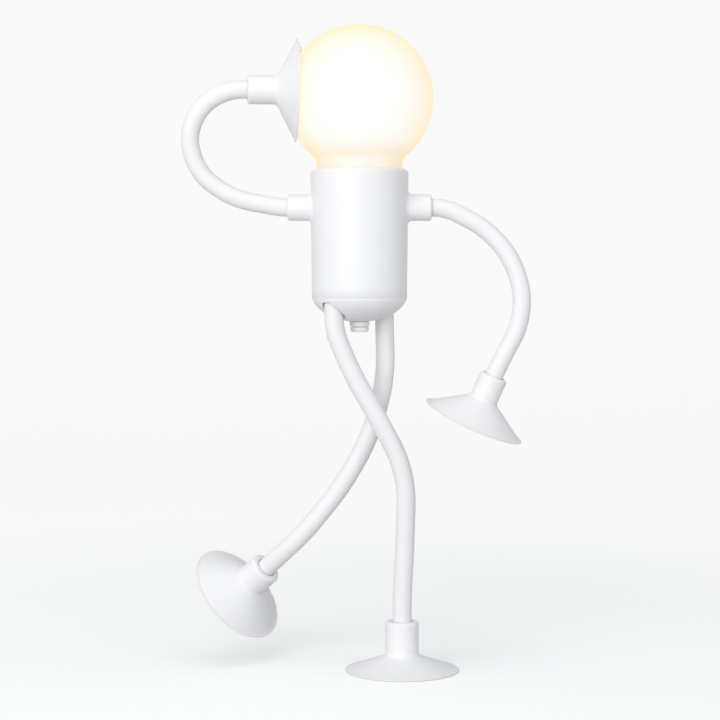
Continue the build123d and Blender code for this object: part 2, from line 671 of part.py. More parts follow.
def write_limbs():
    for limb in LIMBS:
        for i, sleeve in enumerate(limb.sleeves(), 1):
            save(f"{limb.name}_sleeve_{i}", sleeve)
        for i in range(len(limb.joints)):
            save(f"{limb.name}_core_{i + 1}", limb.link(i))
    nut_at_casing = STUB_REACH - SEAT_DEPTH - CASING_BORE_R + 1.2
    save("shoulder_anchors", *[limb.anchor(nut_at_casing, nut_at_casing + NUT_HEIGHT + 2)
                               for limb in (raised_arm, lowered_arm)])
    nut_on_holder = HOLDER_PLATE - HIP_LEVEL - SEAT_DEPTH
    save("hip_anchors", *[limb.anchor(nut_on_holder, nut_on_holder + NUT_HEIGHT + 2)
                          for limb in (standing_leg, lifted_leg)])
    for limb, node, sleeve_r, rim_r, cone, length in [
        (raised_arm, "raised_hand_cup", HAND_SLEEVE_R, LEANING_HAND_R, LEANING_HAND_CONE,
         LEANING_HAND_LENGTH),
        (lowered_arm, "lowered_hand_cup", HAND_SLEEVE_R, FREE_HAND_R, FREE_HAND_CONE,
         FREE_HAND_LENGTH),
        (standing_leg, "standing_foot_cup", FOOT_SLEEVE_R, STANDING_FOOT_R,
         STANDING_FOOT_CONE, STANDING_FOOT_LENGTH),
        (lifted_leg, "lifted_foot_cup", FOOT_SLEEVE_R, FREE_FOOT_R, FREE_FOOT_CONE,
         FREE_FOOT_LENGTH),
    ]:
        cup = suction_cup(rim_r, cone, length, sleeve_r, limb.tube_r)
        save(node, cup_plane(limb, length) * cup)


def write_body():
    for name, piece in [
        ("body_shell", body_shell), ("base_cap", base_cap), ("opal_globe", opal_globe),
        ("globe_retainer", globe_retainer), ("globe_gasket", globe_gasket),
        ("led_board", led_board), ("heat_sink", heat_sink), ("battery_cell", battery_cell),
        ("battery_holder", battery_holder), ("control_board", control_board),
        ("charging_port", charging_port), ("switch_bezel", switch_bezel),
        ("power_button", power_button), ("switch_body", switch_body),
    ]:
        save(name, at_body(piece()))
    for name, group in [("led_chips", led_chips), ("module_screws", module_screws),
                        ("battery_tabs", battery_tabs), ("board_chips", board_chips)]:
        save(name, *[at_body(solid) for solid in group()])


if __name__ == "__main__":
    os.makedirs("parts", exist_ok=True)
    write_body()
    write_limbs()
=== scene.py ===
import math
from collections import namedtuple

import bmesh
import bpy
from bpy.props import FloatProperty, FloatVectorProperty, IntProperty, PointerProperty
from bpy.types import Operator, Panel, PropertyGroup
from mathutils import Matrix, Vector


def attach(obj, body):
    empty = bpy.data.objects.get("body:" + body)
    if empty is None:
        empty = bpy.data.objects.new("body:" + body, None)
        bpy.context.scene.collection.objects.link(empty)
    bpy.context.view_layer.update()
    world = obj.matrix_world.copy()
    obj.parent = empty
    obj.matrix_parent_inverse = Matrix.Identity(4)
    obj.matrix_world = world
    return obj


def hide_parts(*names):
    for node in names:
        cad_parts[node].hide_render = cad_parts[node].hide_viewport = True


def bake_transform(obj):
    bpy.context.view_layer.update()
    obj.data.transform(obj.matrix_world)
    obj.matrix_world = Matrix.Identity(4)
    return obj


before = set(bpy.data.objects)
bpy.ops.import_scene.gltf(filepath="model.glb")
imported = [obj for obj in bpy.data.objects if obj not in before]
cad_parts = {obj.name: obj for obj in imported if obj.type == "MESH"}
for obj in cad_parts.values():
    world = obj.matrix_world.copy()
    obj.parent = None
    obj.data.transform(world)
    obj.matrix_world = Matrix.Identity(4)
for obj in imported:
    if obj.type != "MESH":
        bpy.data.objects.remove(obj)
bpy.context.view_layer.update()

bl_info = {
    "name": "Posable figure lamp",
    "version": (1, 0, 0),
    "blender": (4, 5, 0),
    "location": "View3D > Sidebar > Figure lamp",
    "description": "Builds the visible pieces of a cordless figure lamp round its packed model",
    "category": "Object",
}

MM = 0.001
UP = Vector((0, 0, 1))

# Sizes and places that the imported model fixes, in millimetres. Every piece is built in its
# frame, with the floor at z = 0 and the standing foot's axis at x = y = 0.
STANCE = Vector((-27.2, 10.0, 0.0))    # where the body's axis meets the floor
SEAM = 238.0                           # joint line of casing and base cap
CASING_HEIGHT = 82.3
CASING_TOP = SEAM + CASING_HEIGHT
DOME_DEPTH = 15.1
GLOBE_R = 46.9
GLOBE_RISE = 44.7                      # globe's middle above the casing's top
GLOBE_LEVEL = CASING_TOP + GLOBE_RISE
GLOBE_WALL = 1.6
NECK_DEPTH = 9.7                       # neck's end below the casing's top
NECK_FILLET = 5.5
SHOULDER_DROP = 24.5                   # shoulders' axis below the casing's top
STUB_REACH = 46.0                      # stub's mouth from the body's axis
HIP_DROP = 9.8                         # where a leg leaves the dome, below the seam
HIP_RADIUS = 22.1
HIP_TURN = math.radians(43)            # hips turned from the shoulders
SEAT_DEPTH = 7.0                       # limb inside its shoulder or hip
CUP_GRIP = 10.7                        # limb inside its cup
CUP_BORE = 11.15                       # depth of the cup's hole for it
BEND_SHARE = 0.49                      # of the shorter run that each bend takes up
MOUTH_RUN = 12.0                       # a route's last corner before its cup

SHOULDER_LEVEL = CASING_TOP - SHOULDER_DROP
LEFT_SHOULDER = Vector((STANCE.x - STUB_REACH, STANCE.y, SHOULDER_LEVEL))
RIGHT_SHOULDER = Vector((STANCE.x + STUB_REACH, STANCE.y, SHOULDER_LEVEL))
HIP_REACH = HIP_RADIUS * Vector((math.cos(HIP_TURN), math.sin(HIP_TURN), 0))
HIP_LEVEL = Vector((0, 0, SEAM - HIP_DROP))
LEFT_HIP = STANCE - HIP_REACH + HIP_LEVEL
RIGHT_HIP = STANCE + HIP_REACH + HIP_LEVEL

# Tolerances: a point this near the axis in mm lies on it, and points this near in m are one
ON_AXIS = 1e-6
WELD = 1e-6
TURNED_WELD = 1e-7

SMOOTH_BELOW = 50.0                    # degrees between faces that are shaded as one surface

# Sockets of a Mix node that is set to colours
MIX_A, MIX_B, MIX_RESULT = 6, 7, 2


def srgb(code, alpha=1.0):
    """A hex colour as linear red, green, blue and alpha."""
    values = []
    for i in (1, 3, 5):
        c = int(code[i:i + 2], 16) / 255
        values.append(c / 12.92 if c <= 0.04045 else ((c + 0.055) / 1.055) ** 2.4)
    return (*values, alpha)


def dimmed(colour, share):
    """A linear colour with only that share of its light."""
    return (*(share * c for c in colour[:3]), 1)


def colour_field(name, text, code):
    """A colour that the panel shows, from its hex code."""
    return FloatVectorProperty(name=name, description=text, subtype="COLOR", size=4,
                               min=0.0, max=1.0, default=srgb(code))


def length_field(name, text, value_mm):
    """A length that the panel shows, given in millimetres and kept in metres."""
    return FloatProperty(name=name, description=text, unit="LENGTH", subtype="DISTANCE",
                         default=value_mm * MM, min=0.0, precision=5)


class LampSizes(PropertyGroup):
    globe_r: length_field("Globe radius", "Outside radius of the opal globe", GLOBE_R)
    neck_r: length_field("Neck radius", "Outside radius of the globe's neck", 27.4)
    arm_r: length_field("Arm radius", "Outside radius of an arm's sleeve", 5.8)
    leg_r: length_field("Leg radius", "Outside radius of a leg's sleeve", 6.05)
    sleeve_wall: length_field("Sleeve wall", "Wall of a limb's silicone sleeve", 1.3)
    hand_sleeve_r: length_field("Hand sleeve radius", "Outside radius of a hand's sleeve", 9.1)
    foot_sleeve_r: length_field("Foot sleeve radius", "Outside radius of a foot's sleeve",
                                10.65)
    cup_edge: length_field("Cup edge", "Thickness of a cup at its rim", 0.9)
    cup_lip: length_field("Cup lip", "Width of the nearly flat band outside a cup's cone", 1.7)
    cup_skin: length_field("Cup skin", "Wall of a cup's cone at its top", 1.4)
    around: IntProperty(name="Sides", description="Faces round a turned piece", default=144,
                        min=24, max=256)
    tube_sides: IntProperty(name="Tube sides", description="Faces round a limb", default=48,
                            min=12, max=96)


class LampColours(PropertyGroup):
    shell: colour_field("Shell", "Moulded casing, cap, bezel and button", "#EFEFF0")
    silicone: colour_field("Silicone", "Limb sleeves and suction cups", "#EFEFEF")
    opal: colour_field("Opal", "The milky wall of the globe", "#8E8C88")
    warmth: colour_field("Warmth", "What the milky wall lets through of white light", "#FDF2DC")
    glow: colour_field("Glow", "Light of the diodes behind the wall", "#D8E4FF")
    neck_glow: colour_field("Neck glow", "The same light down at the neck", "#CFD1DE")
    backdrop: colour_field("Backdrop", "Floor and wall as the camera sees them", "#F9FAF9")


def sizes():
    return bpy.context.scene.lamp_sizes


def colours():
    return bpy.context.scene.lamp_colours


# Materials

def add(tree, kind, inputs=None, **settings):
    """Adds a node with its settings, and sets or links its inputs by name or index."""
    made = tree.nodes.new(kind)
    for key, value in settings.items():
        setattr(made, key, value)
    for key, value in (inputs or {}).items():
        if isinstance(value, bpy.types.NodeSocket):
            tree.links.new(value, made.inputs[key])
        else:
            made.inputs[key].default_value = value
    return made


def new_material(name):
    """An empty material, its tree, and the place on the piece that its patterns follow."""
    material = bpy.data.materials.new(name)
    material.use_nodes = True
    tree = material.node_tree
    tree.nodes.clear()
    return material, tree, add(tree, "ShaderNodeTexCoord").outputs["Object"]


def moulded(name, colour, roughness, ior, grain_mm, grain_depth, mottle=0.02, **shader):
    """A moulded plastic or rubber: faint cloudy colour, uneven gloss and a fine tool texture."""
    cloud_mm, gloss_spread = 18, 0.05
    material, tree, place = new_material(name)
    cloud = add(tree, "ShaderNodeTexNoise", {
        "Vector": place, "Scale": 1 / (cloud_mm * MM), "Detail": 3.0, "Roughness": 0.55})
    grain = add(tree, "ShaderNodeTexNoise", {
        "Vector": place, "Scale": 1 / (grain_mm * MM), "Detail": 2.0, "Roughness": 0.6})
    tone = add(tree, "ShaderNodeMix", {
        "Factor": cloud.outputs["Fac"], MIX_A: colour, MIX_B: dimmed(colour, 1 - 2 * mottle)},
        data_type="RGBA")
    gloss = add(tree, "ShaderNodeMapRange", {
        "Value": cloud.outputs["Fac"], "To Min": roughness - gloss_spread,
        "To Max": roughness + gloss_spread})
    bump = add(tree, "ShaderNodeBump", {
        "Height": grain.outputs["Fac"], "Strength": 0.25, "Distance": grain_depth * MM})
    surface = add(tree, "ShaderNodeBsdfPrincipled", {
        "Base Color": tone.outputs[MIX_RESULT], "Roughness": gloss.outputs["Result"],
        "IOR": ior, "Normal": bump.outputs["Normal"], **shader})
    add(tree, "ShaderNodeOutputMaterial", {"Surface": surface.outputs[0]})
    return material


def metal(name, colour, roughness, streak_mm, length_mm):
    """A metal drawn or rolled along Z: fine streaks in gloss and colour."""
    streak_share, gloss_spread, streak_depth = 0.85, 0.08, 0.05
    across, along = 1 / (streak_mm * MM), 1 / (length_mm * MM)
    material, tree, place = new_material(name)
    scale = add(tree, "ShaderNodeMapping", {"Vector": place, "Scale": (across, across, along)})
    streak = add(tree, "ShaderNodeTexNoise", {
        "Vector": scale.outputs[0], "Scale": 1.0, "Detail": 3.0})
    tone = add(tree, "ShaderNodeMix", {
        "Factor": streak.outputs["Fac"], MIX_A: colour, MIX_B: dimmed(colour, streak_share)},
        data_type="RGBA")
    gloss = add(tree, "ShaderNodeMapRange", {
        "Value": streak.outputs["Fac"], "To Min": roughness - gloss_spread,
        "To Max": roughness + gloss_spread})
    bump = add(tree, "ShaderNodeBump", {
        "Height": streak.outputs["Fac"], "Strength": 0.15, "Distance": streak_depth * MM})
    surface = add(tree, "ShaderNodeBsdfPrincipled", {
        "Base Color": tone.outputs[MIX_RESULT], "Roughness": gloss.outputs["Result"],
        "Metallic": 1.0, "Normal": bump.outputs["Normal"]})
    add(tree, "ShaderNodeOutputMaterial", {"Surface": surface.outputs[0]})
    return material


def opal_polycarbonate():
    """Opal polycarbonate, blow moulded and lit from inside: an even glow that the milky wall
    turns warmer where the eye looks along it, a neck that the diodes light less, and a soft
    satin skin."""
    wave_mm, wave_depth = 25, 0.1
    dim_from, bright_from = CASING_TOP - 2, CASING_TOP + 22
    c = colours()
    material, tree, place = new_material("opal_polycarbonate_blown")
    wave = add(tree, "ShaderNodeTexNoise", {
        "Vector": place, "Scale": 1 / (wave_mm * MM), "Detail": 2.0})
    bump = add(tree, "ShaderNodeBump", {
        "Height": wave.outputs["Fac"], "Strength": 0.1, "Distance": wave_depth * MM})
    height = add(tree, "ShaderNodeSeparateXYZ", {0: place})
    rise = add(tree, "ShaderNodeMapRange", {
        "Value": height.outputs["Z"], "From Min": dim_from * MM, "From Max": bright_from * MM},
        interpolation_type="SMOOTHSTEP")
    light = add(tree, "ShaderNodeMix", {
        "Factor": rise.outputs["Result"], MIX_A: tuple(c.neck_glow), MIX_B: tuple(c.glow)},
        data_type="RGBA")
    surface = add(tree, "ShaderNodeBsdfPrincipled", {
        "Base Color": tuple(c.opal), "Roughness": 0.4, "IOR": 1.58,
        "Normal": bump.outputs["Normal"],
        "Coat Weight": 1.0, "Coat Roughness": 0.35, "Coat IOR": 1.06,
        "Coat Tint": tuple(c.warmth),
        "Emission Color": light.outputs[MIX_RESULT], "Emission Strength": 1.14})
    add(tree, "ShaderNodeOutputMaterial", {"Surface": surface.outputs[0]})
    return material


def printed_board():
    """Glass-epoxy board with solder mask, etched: green lacquer over faint square traces."""
    trace_mm = 4
    material, tree, place = new_material("glass_epoxy_board_etched")
    trace = add(tree, "ShaderNodeTexBrick", {
        "Vector": place, "Scale": 1 / (trace_mm * MM), "Mortar Size": 0.06,
        "Color1": srgb("#1F6B3C"), "Color2": srgb("#236F40"), "Mortar": srgb("#2F8A50")})
    surface = add(tree, "ShaderNodeBsdfPrincipled", {
        "Base Color": trace.outputs["Color"], "Roughness": 0.3, "IOR": 1.55})
    add(tree, "ShaderNodeOutputMaterial", {"Surface": surface.outputs[0]})
    return material


def make_materials():
    """Every finish of the lamp. A moulded one gives its colour, roughness, IOR, width and depth
    of its grain in mm, and how cloudy it is, and a metal one its colour, roughness, and width
    and length of its streaks in mm. Real grain and streaks are about a tenth of a millimetre
    wide, and are drawn coarser here, or they wouldn't show."""
    c = colours()
    return {
        # ABS, injection moulded in a spark-eroded tool: an even satin with a soft highlight
        "shell": moulded("abs_moulded_satin", tuple(c.shell), 0.48, 1.53, 0.9, 0.05),
        # Silicone rubber, compression moulded: matte, with a little light just under the skin
        "silicone": moulded("silicone_rubber_moulded", tuple(c.silicone), 0.55, 1.41, 1.1, 0.06,
                            **{"Subsurface Weight": 0.12, "Subsurface Radius": (1.0, 0.9, 0.8),
                               "Subsurface Scale": 2.5 * MM, "Sheen Weight": 0.08,
                               "Sheen Roughness": 0.4}),
        "opal": opal_polycarbonate(),
        # Nylon, moulded: off-white and dull
        "holder": moulded("nylon_moulded_matte", srgb("#DEDDD8"), 0.6, 1.53, 1.0, 0.05),
        # Foam rubber, cut from sheet: grey, rough and quite without gloss
        "gasket": moulded("foam_rubber_cut", srgb("#BDBCB8"), 0.8, 1.45, 0.8, 0.1, 0.05),
        # Epoxy round the chips, moulded: nearly black with a dull sheen
        "black": moulded("epoxy_package_moulded", srgb("#1C1C1E"), 0.5, 1.55, 0.6, 0.03, 0.1),
        # PVC sleeve, shrunk on the cell: blue and glossy, with slow ripples
        "wrap": moulded("pvc_wrap_shrunk", srgb("#3E74A8"), 0.25, 1.54, 3.0, 0.03, 0.05),
        # Gel with phosphor, cast over the diodes: yellow, wet looking and lit
        "phosphor": moulded("phosphor_gel_cast", srgb("#F2D572"), 0.3, 1.45, 0.5, 0.02, 0.05,
                            **{"Emission Color": srgb("#FFE9B0"), "Emission Strength": 1.0}),
        "board": printed_board(),
        # Annealed steel wire, drawn: dull grey with streaks along the wire
        "steel": metal("steel_wire_drawn", srgb("#B9BABD"), 0.42, 0.5, 12.0),
        # Nickel strip, rolled: slightly yellow and the brightest of the metals
        "nickel": metal("nickel_strip_rolled", srgb("#CBC8C0"), 0.28, 0.6, 8.0),
        # Aluminium plate, rolled: pale grey with long faint streaks
        "aluminium": metal("aluminium_plate_rolled", srgb("#D4D6D8"), 0.35, 0.7, 15.0),
    }


MATERIALS = {}

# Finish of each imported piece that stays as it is
CAD_FINISHES = {
    "holder": ("globe_retainer", "battery_holder"),
    "gasket": ("globe_gasket",),
    "board": ("led_board", "control_board"),
    "phosphor": ("led_chips",),
    "aluminium": ("heat_sink",),
    "steel": ("module_screws", "shoulder_anchors", "hip_anchors"),
    "nickel": ("battery_tabs", "charging_port"),
    "wrap": ("battery_cell",),
    "black": ("board_chips", "switch_body"),
}


# Mesh helpers

def new_object(name, data):
    """An object in the scene for a mesh, a lamp or a camera."""
    made = bpy.data.objects.new(name, data)
    bpy.context.scene.collection.objects.link(made)
    return made


def finished_piece(name, mesh, material, smooth_below=SMOOTH_BELOW):
    """An object at the origin, shaded smooth but for edges sharper than that many degrees."""
    mesh.name = name
    mesh.materials.clear()
    mesh.materials.append(MATERIALS[material])
    mesh.polygons.foreach_set("use_smooth", [True] * len(mesh.polygons))
    mesh.set_sharp_from_angle(angle=math.radians(smooth_below))
    return new_object(name, mesh)


def mesh_piece(name, bm, material, smooth_below=SMOOTH_BELOW):
    """A finished piece from a bmesh."""
    mesh = bpy.data.meshes.new(name)
    bm.to_mesh(mesh)
    bm.free()
    return finished_piece(name, mesh, material, smooth_below)


def rounded(corners, steps):
    """Points (r, z) of a half section from its corners, given as (r, z, radius). Each corner
    with a radius becomes an arc of that many steps."""
    points = []
    count = len(corners)
    for i, (r, z, radius) in enumerate(corners):
        here = Vector((r, z))
        if radius <= 0 or (i in (0, count - 1) and r == 0):
            points.append(here)
            continue
        before = Vector(corners[i - 1][:2]) - here
        after = Vector(corners[(i + 1) % count][:2]) - here
        turn = math.pi - before.angle(after)
        cut = radius * math.tan(turn / 2)
        start, end = here + before.normalized() * cut, here + after.normalized() * cut
        centre = here + (before.normalized() + after.normalized()).normalized() * (
            radius / math.cos(turn / 2))
        a, b = start - centre, end - centre
        sweep = a.angle_signed(b)
        for k in range(steps + 1):
            t = -sweep * k / steps
            points.append(centre + Vector((a.x * math.cos(t) - a.y * math.sin(t),
                                           a.x * math.sin(t) + a.y * math.cos(t))))
    return points


def arc(centre, radius, start, end, steps):
    """Points (r, z) of a half section along an arc between two angles."""
    angles = (start + (end - start) * k / steps for k in range(steps + 1))
    return [centre + radius * Vector((math.cos(a), math.sin(a))) for a in angles]


def turned(points, place, sides):
    """A bmesh of a half section (r, z) in mm turned round Z, and then put in its place. A row
    that starts on the axis also ends there, and any other row is closed on itself."""
    bm = bmesh.new()
    rings = []
    for p in points:
        if p.x < ON_AXIS:
            rings.append([bm.verts.new((0, 0, p.y * MM))])
            continue
        rings.append([bm.verts.new((p.x * MM * math.cos(a), p.x * MM * math.sin(a), p.y * MM))
                      for a in (2 * math.pi * k / sides for k in range(sides))])
    pairs = list(zip(rings, rings[1:]))
    if points[0].x > ON_AXIS:
        pairs.append((rings[-1], rings[0]))
    for low, high in pairs:
        if len(low) == 1 and len(high) == 1:
            continue
        for k in range(sides):
            n = (k + 1) % sides
            if len(low) == 1:
                bm.faces.new((low[0], high[n], high[k]))
            elif len(high) == 1:
                bm.faces.new((low[k], low[n], high[0]))
            else:
                bm.faces.new((low[k], low[n], high[n], high[k]))
    bmesh.ops.remove_doubles(bm, verts=bm.verts, dist=TURNED_WELD)
    bmesh.ops.recalc_face_normals(bm, faces=bm.faces)
    bmesh.ops.transform(bm, matrix=place, verts=bm.verts)
    return bm


def at(point, direction=UP):
    """Moves a piece from its own Z axis to a point in mm, with that axis along a direction."""
    turn = UP.rotation_difference(Vector(direction)).to_matrix().to_4x4()
    return Matrix.Translation(Vector(point) * MM) @ turn


def merged_copy(node):
    """A bmesh of a CAD node's surface with its loose triangles joined."""
    bm = bmesh.new()
    bm.from_mesh(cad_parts[node].data)
    bmesh.ops.remove_doubles(bm, verts=bm.verts, dist=WELD)
    return bm


def fit(piece, body, slot, *nodes):
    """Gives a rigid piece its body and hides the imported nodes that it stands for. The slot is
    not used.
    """
    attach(piece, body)
    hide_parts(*nodes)


# Routes of the limbs

def arc_route(corners, step=0.6):
    """Points in mm along straight runs joined by arcs as wide as the runs allow, a step apart
    on the arcs and two steps apart on what stays straight."""
    points = [corners[0]]
    for a, b, c in zip(corners, corners[1:], corners[2:]):
        into, out = (a - b), (c - b)
        cut = BEND_SHARE * min(into.length, out.length)
        turn = math.pi - into.angle(out)
        start, end = b + into.normalized() * cut, b + out.normalized() * cut
        radius = cut / math.tan(turn / 2)
        centre = b + (into.normalized() + out.normalized()).normalized() * math.hypot(
            cut, radius)
        from_centre, to_end = start - centre, end - centre
        pieces = max(2, round(radius * turn / step))
        points.append(start)
        for k in range(1, pieces + 1):
            points.append(centre + from_centre.slerp(to_end, k / pieces).normalized()
                          * radius)
    points.append(corners[-1])
    dense = []
    for a, b in zip(points, points[1:]):
        runs = max(1, round((b - a).length / (2 * step)))
        dense += [a.lerp(b, k / runs) for k in range(runs)]
    return dense + [points[-1]]


class Route:
    """A limb's centreline, measured along its length in mm."""

    def __init__(self, corners):
        self.points = arc_route(corners)
        self.stations = [0.0]
        for a, b in zip(self.points, self.points[1:]):
            self.stations.append(self.stations[-1] + (b - a).length)
        self.length = self.stations[-1]

    def at(self, s):
        """The point at that distance from the route's start."""
        s = min(max(s, 0.0), self.length)
        for i, mark in enumerate(self.stations[1:]):
            if mark >= s:
                start = self.stations[i]
                share = (s - start) / (mark - start) if mark > start else 0
                return self.points[i].lerp(self.points[i + 1], share)
        return self.points[-1].copy()

    def between(self, a, b, clear=0.2):
        """The points from one distance to another, with none so near an end that it crowds."""
        inner = [p for p, s in zip(self.points, self.stations) if a + clear < s < b - clear]
        return [self.at(a)] + inner + [self.at(b)]


def reach_out(start, corners):
    """The route's corners, from the limb's seat in the body to its end in the cup."""
    first = corners[0]
    back = start - (first - start).normalized() * SEAT_DEPTH
    end, before = corners[-1], corners[-2]
    return [back] + corners[:-1] + [end + (end - before).normalized() * CUP_GRIP]


# Suction cups: rim radius, height of the cone and overall height
Cup = namedtuple("Cup", "rim cone height")
RAISED_HAND = Cup(32.8, 12.6, 31.2)
LOWERED_HAND = Cup(33.3, 15.9, 32.8)
STANDING_FOOT = Cup(36.4, 9.6, 31.7)
LIFTED_FOOT = Cup(33.9, 16.2, 31.5)

GLOBE_IN_HAND = 7.0                    # how far the globe's side reaches into the raised hand
RAISED_LIFT = 4.8                      # raised hand above the globe's middle
RAISED_FORWARD = 4.0                   # and in front of it

# Mouth of each cup's sleeve, where the limb goes in, and the cup's axis from there to its rim
RAISED_AXIS = Vector((1, 0.095, -0.01)).normalized()
RAISED_RIM = Vector((STANCE.x - GLOBE_R + GLOBE_IN_HAND, STANCE.y - RAISED_FORWARD,
                     GLOBE_LEVEL + RAISED_LIFT))
RAISED_MOUTH = RAISED_RIM - RAISED_AXIS * RAISED_HAND.height
LOWERED_AXIS = Vector((-0.398, 0.108, -0.911)).normalized()
LOWERED_MOUTH = RIGHT_SHOULDER + Vector((39.8, -7.5, -107))
STANDING_AXIS = -UP
STANDING_MOUTH = UP * STANDING_FOOT.height
LIFTED_AXIS = Vector((-0.650, 0.432, -0.632)).normalized()
LIFTED_MOUTH = Vector((-87.7, 22.3, 62.7))


def steps_from(start, *offsets):
    """Points given by how far each lies from one start."""
    return [start + Vector(offset) for offset in offsets]


# Corners of each limb's route: first from the shoulder or hip, then from the hand or foot
LIMBS = {
    "raised_arm": (LEFT_SHOULDER, [
        *steps_from(LEFT_SHOULDER, (-4, 0, 0), (-35, 0, 5.7), (-56.7, -1, 21.4),
                    (-63.5, -4, 44.6)),
        *steps_from(RAISED_MOUTH, (-29.9, 0, -10.2)),
        RAISED_MOUTH - RAISED_AXIS * MOUTH_RUN, RAISED_MOUTH]),
    "lowered_arm": (RIGHT_SHOULDER, [
        *steps_from(RIGHT_SHOULDER, (9, 0, 0), (34.6, -1, -13), (51, -3, -31.8),
                    (58.2, -6, -54.7)),
        *steps_from(LOWERED_MOUTH, (15.9, -0.7, 31)),
        LOWERED_MOUTH - LOWERED_AXIS * MOUTH_RUN, LOWERED_MOUTH]),
    "standing_leg": (LEFT_HIP, [
        *steps_from(LEFT_HIP, (0, 0, -9.8), (10.8, 0, -36.6), (25.7, 0, -62.1)),
        *steps_from(STANDING_MOUTH, (3, -3.6, 95.8), (1.9, -1.2, 52)),
        STANDING_MOUTH - STANDING_AXIS * MOUTH_RUN, STANDING_MOUTH]),
    "lifted_leg": (RIGHT_HIP, [
        *steps_from(RIGHT_HIP, (0, 0, -8.3), (1, -1.4, -40.6), (-8.2, -5.5, -77.6)),
        *steps_from(LIFTED_MOUTH, (50.1, -7.8, 54.7), (25.1, -9.7, 24.3)),
        LIFTED_MOUTH - LIFTED_AXIS * MOUTH_RUN, LIFTED_MOUTH]),
}

# Distance of each joint along its limb, counted from the end in the body
JOINTS = {
    "raised_arm": (20, 43, 65),
    "lowered_arm": (23, 57, 91, 125),
    "standing_leg": (23, 77, 131, 183),
    "lifted_leg": (23, 72, 122, 172),
}

# Limb, size, mouth and axis of each cup
CUPS = {
    "raised_hand_cup": ("raised_arm", RAISED_HAND, RAISED_MOUTH, RAISED_AXIS),
    "lowered_hand_cup": ("lowered_arm", LOWERED_HAND, LOWERED_MOUTH, LOWERED_AXIS),
    "standing_foot_cup": ("standing_leg", STANDING_FOOT, STANDING_MOUTH, STANDING_AXIS),
    "lifted_foot_cup": ("lifted_leg", LIFTED_FOOT, LIFTED_MOUTH, LIFTED_AXIS),
}


# Geometry Nodes tree of a limb's sleeve

def sleeve_tree():
    """Route as a row of edges in, tube with its wall out."""
    tree = bpy.data.node_groups.new("Silicone sleeve", "GeometryNodeTree")
    face = tree.interface
    face.new_socket("Geometry", in_out="INPUT", socket_type="NodeSocketGeometry")
    for name, kind in (("Radius", "NodeSocketFloat"), ("Wall", "NodeSocketFloat"),
                       ("Sides", "NodeSocketInt"), ("Material", "NodeSocketMaterial")):
        face.new_socket(name, in_out="INPUT", socket_type=kind)
    face.new_socket("Geometry", in_out="OUTPUT", socket_type="NodeSocketGeometry")
    given = add(tree, "NodeGroupInput").outputs
    line = add(tree, "GeometryNodeMeshToCurve", {"Mesh": given["Geometry"]})
    circle = add(tree, "GeometryNodeCurvePrimitiveCircle",
                 {"Resolution": given["Sides"], "Radius": given["Radius"]})
    skin = add(tree, "GeometryNodeCurveToMesh", {"Curve": line.outputs[0],
                                                 "Profile Curve": circle.outputs[0]})
    inward = add(tree, "ShaderNodeMath", {0: given["Wall"], 1: -1.0}, operation="MULTIPLY")
    wall = add(tree, "GeometryNodeExtrudeMesh", {
        "Mesh": skin.outputs[0], "Offset Scale": inward.outputs[0], "Individual": False})
    inner = add(tree, "GeometryNodeFlipFaces", {"Mesh": wall.outputs["Mesh"]})
    both = add(tree, "GeometryNodeJoinGeometry")
    tree.links.new(skin.outputs[0], both.inputs[0])
    tree.links.new(inner.outputs[0], both.inputs[0])
    welded = add(tree, "GeometryNodeMergeByDistance", {"Geometry": both.outputs[0],
                                                       "Distance": WELD})
    real = add(tree, "GeometryNodeRealizeInstances", {"Geometry": welded.outputs[0]})
    done = add(tree, "GeometryNodeSetMaterial", {"Geometry": real.outputs[0],
                                                 "Material": given["Material"]})
    add(tree, "NodeGroupOutput", {0: done.outputs[0]})
    return tree


def grown(points, tree, values):
    """A plain mesh from a row of points in mm and a Geometry Nodes tree."""
    line = bpy.data.meshes.new("limb_line")
    line.from_pydata([tuple(p * MM) for p in points],
                     [(i, i + 1) for i in range(len(points) - 1)], [])
    holder = new_object("limb_line", line)
    modifier = holder.modifiers.new("Sleeve", "NODES")
    modifier.node_group = tree
    for item in tree.interface.items_tree:
        if item.in_out == "INPUT" and item.name in values:
            modifier[item.identifier] = values[item.name]
    bpy.context.view_layer.update()
    graph = bpy.context.evaluated_depsgraph_get()
    mesh = bpy.data.meshes.new_from_object(holder.evaluated_get(graph))
    bpy.data.objects.remove(holder)
    bpy.data.meshes.remove(line)
    return mesh


# Sections of the cups, and the flex of one of them

def cup_section(size, is_foot):
    """Half section of a cup, rim at z = 0 and sleeve up, with a dark ring round the limb."""
    rim, cone, height = size
    s = sizes()
    sleeve = (s.foot_sleeve_r if is_foot else s.hand_sleeve_r) / MM
    limb = (s.leg_r if is_foot else s.arm_r) / MM
    edge, lip, skin = s.cup_edge / MM, s.cup_lip / MM, s.cup_skin / MM
    heel, heel_lift, lip_rise, thick = 0.9, 0.35, 0.25, 2.1
    mouth_gap, mouth_depth, clearance = 0.6, 1.2, 0.15
    band, band_top, roof = rim - lip, edge + lip_rise, cone - thick
    slope = (cone - band_top) / (band - sleeve)
    roof_r = sleeve + thick / slope - skin * math.hypot(1, 1 / slope)
    mouth, ledge = limb + mouth_gap, height - mouth_depth
    bore, floor = limb + clearance, height - CUP_BORE
    return rounded([
        (0, roof, 0), (roof_r, roof, 3.0), (band, 0, 0.25), (rim - heel, 0, 0.3),
        (rim, heel_lift, 0.12), (rim, edge, 0.35), (band, band_top, 0.6), (sleeve, cone, 2.8),
        (sleeve, height, 2.0), (mouth, height, 0.2), (mouth, ledge, 0), (bore, ledge, 0),
        (bore, floor, 0), (0, floor, 0)], steps=8)


